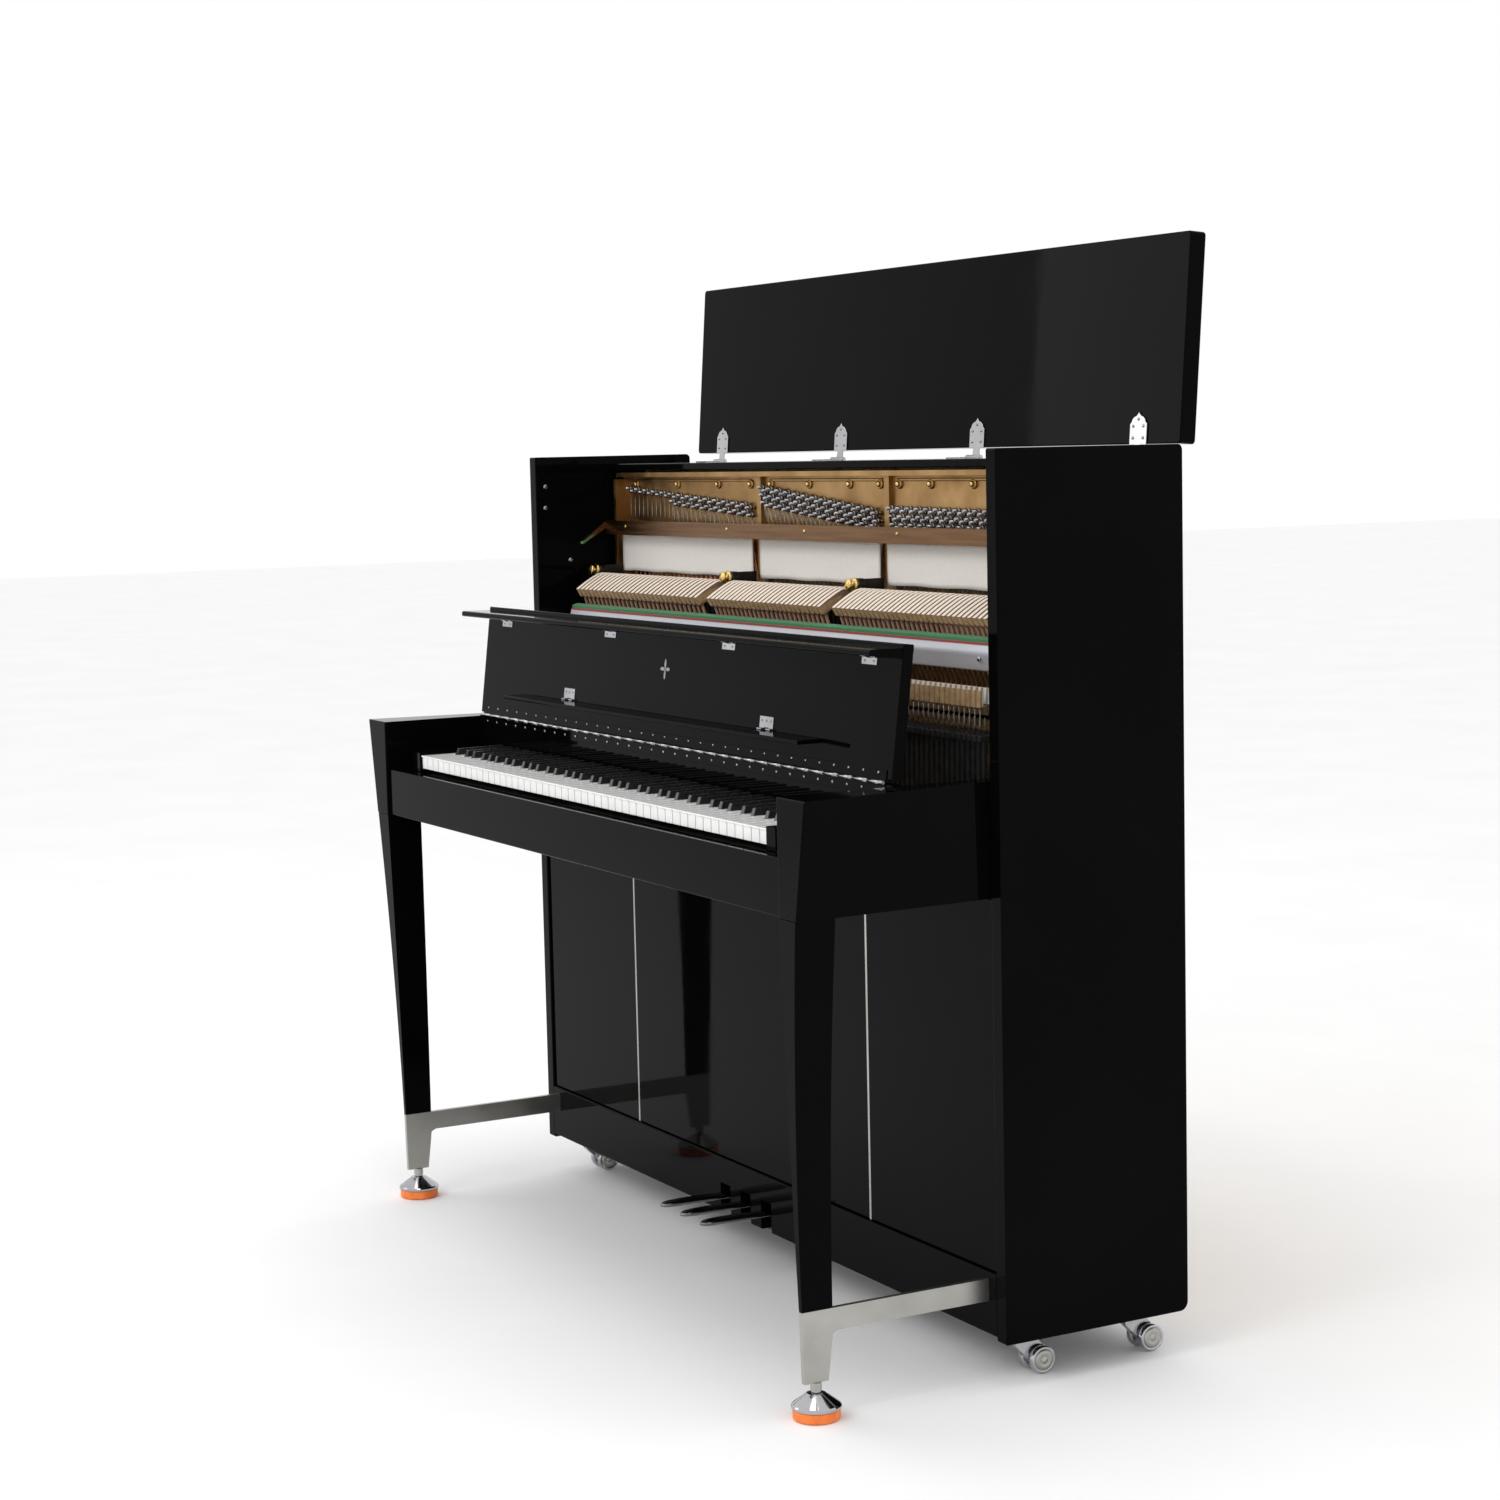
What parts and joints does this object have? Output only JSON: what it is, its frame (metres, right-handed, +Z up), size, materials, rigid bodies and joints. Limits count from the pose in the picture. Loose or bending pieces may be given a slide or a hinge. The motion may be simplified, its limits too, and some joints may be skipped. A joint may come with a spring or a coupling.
{
  "type": "upright piano",
  "caption": "Upright piano in black polish with its lid raised, upper panel off and fallboard open, showing hammers, strings and iron plate.",
  "frame": {"origin": "on the floor under the centre of the bounding box", "axes": "+Z up, +X to the player's right, the keyboard faces -Y"},
  "size_m": [1.5454, 0.6966, 1.6046],
  "materials": {
    "black_lacquer": "black polyester polished to a mirror",
    "case_wood": "black painted board",
    "frame_wood": "planed softwood",
    "spruce": "satin varnished spruce",
    "maple": "planed maple",
    "hammer_wood": "pale wood with wool felt",
    "gold_iron": "bronze powder lacquer on cast iron",
    "steel": "bright steel wire",
    "nickel": "brushed nickel",
    "chrome": "polished chrome plate",
    "foot_pad_rubber": "matt orange rubber",
    "key_white": "polished white acrylic",
    "key_black": "satin black resin",
    "action_metal": "dark painted metal",
    "rest_rail_paint": "grey painted wood with felt",
    "damper_felt": "wood with white felt",
    "muffler_bronze": "bronze anodised aluminium",
    "muffler_felt": "thin white wool felt"
  },
  "bodies": {
    "case": {"left_side_panel": "black_lacquer", "right_side_panel": "black_lacquer", "back_top_rail": "black_lacquer", "bottom_board": "case_wood", "toe_rail": "black_lacquer", "knee_panel": "black_lacquer", "knee_panel_inlays": "nickel", "back_frame": "frame_wood", "soundboard": "spruce", "bridges": "maple", "pin_block": "maple", "iron_plate": "gold_iron", "tuning_pins": "steel", "strings": "steel", "keybed": "case_wood", "key_slip": "black_lacquer", "left_arm": "black_lacquer", "right_arm": "black_lacquer", "left_leg": "black_lacquer", "right_leg": "black_lacquer", "left_leg_shoe": "nickel", "right_leg_shoe": "nickel", "nameboard": "black_lacquer", "key_frame": "frame_wood", "key_blocks": "black_lacquer", "action_brackets": "action_metal", "action_rails": "action_metal", "fixed_hinge_leaves": "chrome"},
    "left_foot": {"left_foot": "chrome", "left_foot_pad": "foot_pad_rubber"},
    "right_foot": {"right_foot": "chrome", "right_foot_pad": "foot_pad_rubber"},
    "lid": {"lid": "black_lacquer", "lid_hinge_leaves": "chrome"},
    "fallboard": {"fallboard": "black_lacquer", "fallboard_hinge_leaf": "chrome", "fallboard_butt_hinges": "chrome"},
    "fallboard_nose": {"fallboard_nose": "black_lacquer"},
    "music_ledge": {"music_ledge": "black_lacquer"},
    "naturals": {"white_keys": "key_white"},
    "sharps": {"black_keys": "key_black"},
    "rest_rail": {"hammer_rest_rail": "rest_rail_paint"},
    "hammers_white": {"hammers_white": "hammer_wood"},
    "hammers_black": {"hammers_black": "hammer_wood"},
    "wippens_white": {"wippens_white": "maple"},
    "wippens_black": {"wippens_black": "maple"},
    "dampers": {"dampers": "damper_felt"},
    "muffler": {"muffler_rail": "muffler_bronze", "muffler_felts": "muffler_felt"},
    "left_pedal": {"left_pedal": "chrome"},
    "middle_pedal": {"middle_pedal": "chrome"},
    "right_pedal": {"right_pedal": "chrome"},
    "swivel_front_left": {"caster_fork_front_left": "chrome"},
    "wheels_front_left": {"caster_wheel_front_left": "chrome"},
    "swivel_front_right": {"caster_fork_front_right": "chrome"},
    "wheels_front_right": {"caster_wheel_front_right": "chrome"},
    "swivel_back_left": {"caster_fork_back_left": "chrome"},
    "wheels_back_left": {"caster_wheel_back_left": "chrome"},
    "swivel_back_right": {"caster_fork_back_right": "chrome"},
    "wheels_back_right": {"caster_wheel_back_right": "chrome"}
  },
  "joints": [
    {"name": "lid_hinge", "type": "hinge", "parent": "case", "child": "lid", "pos_m": [0, 0.29261, 1.2925], "axis": [1, 0, 0], "range_deg": [0, 94.2]},
    {"name": "fallboard_hinge", "type": "hinge", "parent": "case", "child": "fallboard", "pos_m": [0, -0.17089, 0.857], "axis": [1, 0, 0], "range_deg": [0, 97]},
    {"name": "nose_hinge", "type": "hinge", "parent": "fallboard", "child": "fallboard_nose", "pos_m": [0, -0.14798, 1.02546], "axis": [1, 0, 0], "range_deg": [0, 88]},
    {"name": "ledge_hinge", "type": "hinge", "parent": "fallboard", "child": "music_ledge", "pos_m": [0, -0.16404, 0.90452], "axis": [1, 0, 0], "range_deg": [-92, 0]},
    {"name": "naturals_dip", "type": "hinge", "parent": "case", "child": "naturals", "pos_m": [0, -0.08039, 0.776], "axis": [1, 0, 0], "range_deg": [0, 2.43], "stiffness_Nm_per_rad": 60, "springref_deg": -5.73},
    {"name": "sharps_dip", "type": "hinge", "parent": "case", "child": "sharps", "pos_m": [0, -0.08039, 0.776], "axis": [1, 0, 0], "range_deg": [0, 2.43], "stiffness_Nm_per_rad": 40, "springref_deg": -5.73},
    {"name": "left_pedal_pivot", "type": "hinge", "parent": "case", "child": "left_pedal", "pos_m": [-0.068, 0.11961, 0.1], "axis": [1, 0, 0], "range_deg": [0, 3.5], "stiffness_Nm_per_rad": 60, "springref_deg": -4.58},
    {"name": "middle_pedal_pivot", "type": "hinge", "parent": "case", "child": "middle_pedal", "pos_m": [0, 0.11961, 0.1], "axis": [1, 0, 0], "range_deg": [0, 3.5], "stiffness_Nm_per_rad": 60, "springref_deg": -4.58},
    {"name": "right_pedal_pivot", "type": "hinge", "parent": "case", "child": "right_pedal", "pos_m": [0.068, 0.11961, 0.1], "axis": [1, 0, 0], "range_deg": [0, 3.5], "stiffness_Nm_per_rad": 60, "springref_deg": -4.58},
    {"name": "rest_rail_hinge", "type": "hinge", "parent": "case", "child": "rest_rail", "pos_m": [0, 0.07361, 0.935], "axis": [1, 0, 0], "range_deg": [-5, 0]},
    {"name": "hammers_white_hinge", "type": "hinge", "parent": "rest_rail", "child": "hammers_white", "pos_m": [0, 0.07361, 0.935], "axis": [1, 0, 0], "range_deg": [-10.5, 0]},
    {"name": "hammers_black_hinge", "type": "hinge", "parent": "rest_rail", "child": "hammers_black", "pos_m": [0, 0.07361, 0.935], "axis": [1, 0, 0], "range_deg": [-10.5, 0]},
    {"name": "wippens_white_hinge", "type": "hinge", "parent": "case", "child": "wippens_white", "pos_m": [0, 0.07961, 0.905], "axis": [1, 0, 0], "range_deg": [-2.43, 0]},
    {"name": "wippens_black_hinge", "type": "hinge", "parent": "case", "child": "wippens_black", "pos_m": [0, 0.07961, 0.905], "axis": [1, 0, 0], "range_deg": [-2.43, 0]},
    {"name": "dampers_hinge", "type": "hinge", "parent": "case", "child": "dampers", "pos_m": [0, 0.11761, 0.891], "axis": [1, 0, 0], "range_deg": [0, 2]},
    {"name": "muffler_slide", "type": "slide", "parent": "case", "child": "muffler", "axis": [0, 0, -1], "range_m": [0, 0.028]},
    {"name": "left_foot_screw", "type": "hinge", "parent": "case", "child": "left_foot", "pos_m": [-0.706, -0.31039, 0.05], "axis": [0, 0, 1], "continuous": true},
    {"name": "right_foot_screw", "type": "hinge", "parent": "case", "child": "right_foot", "pos_m": [0.706, -0.31039, 0.05], "axis": [0, 0, 1], "continuous": true},
    {"name": "swivel_front_left_turn", "type": "hinge", "parent": "case", "child": "swivel_front_left", "pos_m": [-0.7, 0.02961, 0.059], "axis": [0, 0, 1], "continuous": true},
    {"name": "wheels_front_left_roll", "type": "hinge", "parent": "swivel_front_left", "child": "wheels_front_left", "pos_m": [-0.7, 0.05561, 0.02], "axis": [1, 0, 0], "continuous": true},
    {"name": "swivel_front_right_turn", "type": "hinge", "parent": "case", "child": "swivel_front_right", "pos_m": [0.7, 0.02961, 0.059], "axis": [0, 0, 1], "continuous": true},
    {"name": "wheels_front_right_roll", "type": "hinge", "parent": "swivel_front_right", "child": "wheels_front_right", "pos_m": [0.7, 0.05561, 0.02], "axis": [1, 0, 0], "continuous": true},
    {"name": "swivel_back_left_turn", "type": "hinge", "parent": "case", "child": "swivel_back_left", "pos_m": [-0.7, 0.21961, 0.059], "axis": [0, 0, 1], "continuous": true},
    {"name": "wheels_back_left_roll", "type": "hinge", "parent": "swivel_back_left", "child": "wheels_back_left", "pos_m": [-0.7, 0.24561, 0.02], "axis": [1, 0, 0], "continuous": true},
    {"name": "swivel_back_right_turn", "type": "hinge", "parent": "case", "child": "swivel_back_right", "pos_m": [0.7, 0.21961, 0.059], "axis": [0, 0, 1], "continuous": true},
    {"name": "wheels_back_right_roll", "type": "hinge", "parent": "swivel_back_right", "child": "wheels_back_right", "pos_m": [0.7, 0.24561, 0.02], "axis": [1, 0, 0], "continuous": true}
  ],
  "couplings": [
    {"joint": "rest_rail_hinge", "follows": "left_pedal_pivot", "ratio": -1.4285},
    {"joint": "hammers_white_hinge", "follows": "naturals_dip", "ratio": -4.3209},
    {"joint": "hammers_black_hinge", "follows": "sharps_dip", "ratio": -4.3209},
    {"joint": "wippens_white_hinge", "follows": "naturals_dip", "ratio": -1},
    {"joint": "wippens_black_hinge", "follows": "sharps_dip", "ratio": -1},
    {"joint": "dampers_hinge", "follows": "right_pedal_pivot", "ratio": 0.5714},
    {"joint": "muffler_slide", "follows": "middle_pedal_pivot", "m_per_rad": 0.4583}
  ]
}
